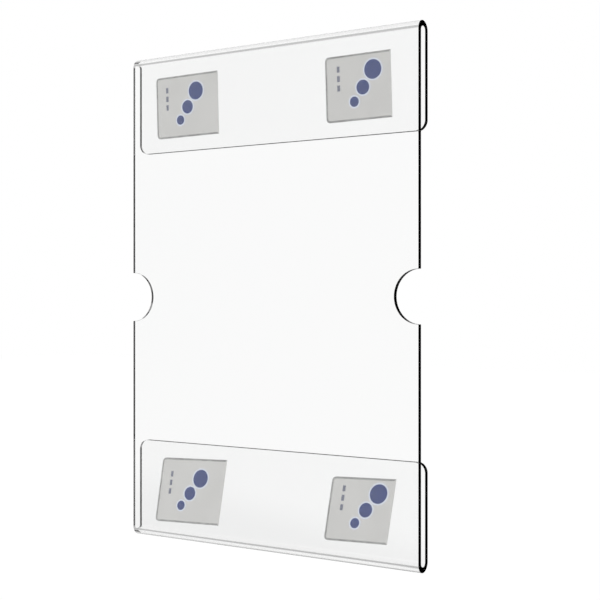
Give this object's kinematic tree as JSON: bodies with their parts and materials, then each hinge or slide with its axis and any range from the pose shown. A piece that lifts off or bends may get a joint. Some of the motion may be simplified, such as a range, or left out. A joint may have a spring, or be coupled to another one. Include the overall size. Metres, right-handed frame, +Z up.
{
  "type": "acrylic photo frame",
  "caption": "Clear acrylic wall frame folded from one sheet, with a slot for an upright A4 print, finger notches in both sides and tape pads on its back flanges.",
  "frame": {"origin": "middle of the frame's box, halfway up, across and through it", "axes": "+Z up along the frame's height, +Y from the front panel towards the wall, +X to the right as the frame is looked at from the front"},
  "size_m": [0.21, 0.0124, 0.3102],
  "materials": {
    "clear_acrylic": "clear, polished faces, saw-cut and flame-polished edges",
    "clear_adhesive": "clear soft acrylic adhesive",
    "liner_paper": "grey glassine paper with a blue print of plain shapes"
  },
  "bodies": {
    "root": {"folded_acrylic_sheet": "clear_acrylic", "tape_pad_top_left": "clear_adhesive", "tape_pad_top_right": "clear_adhesive", "tape_pad_bottom_left": "clear_adhesive", "tape_pad_bottom_right": "clear_adhesive", "release_liner_top_left": "liner_paper", "release_liner_top_right": "liner_paper", "release_liner_bottom_left": "liner_paper", "release_liner_bottom_right": "liner_paper"}
  },
  "joints": []
}
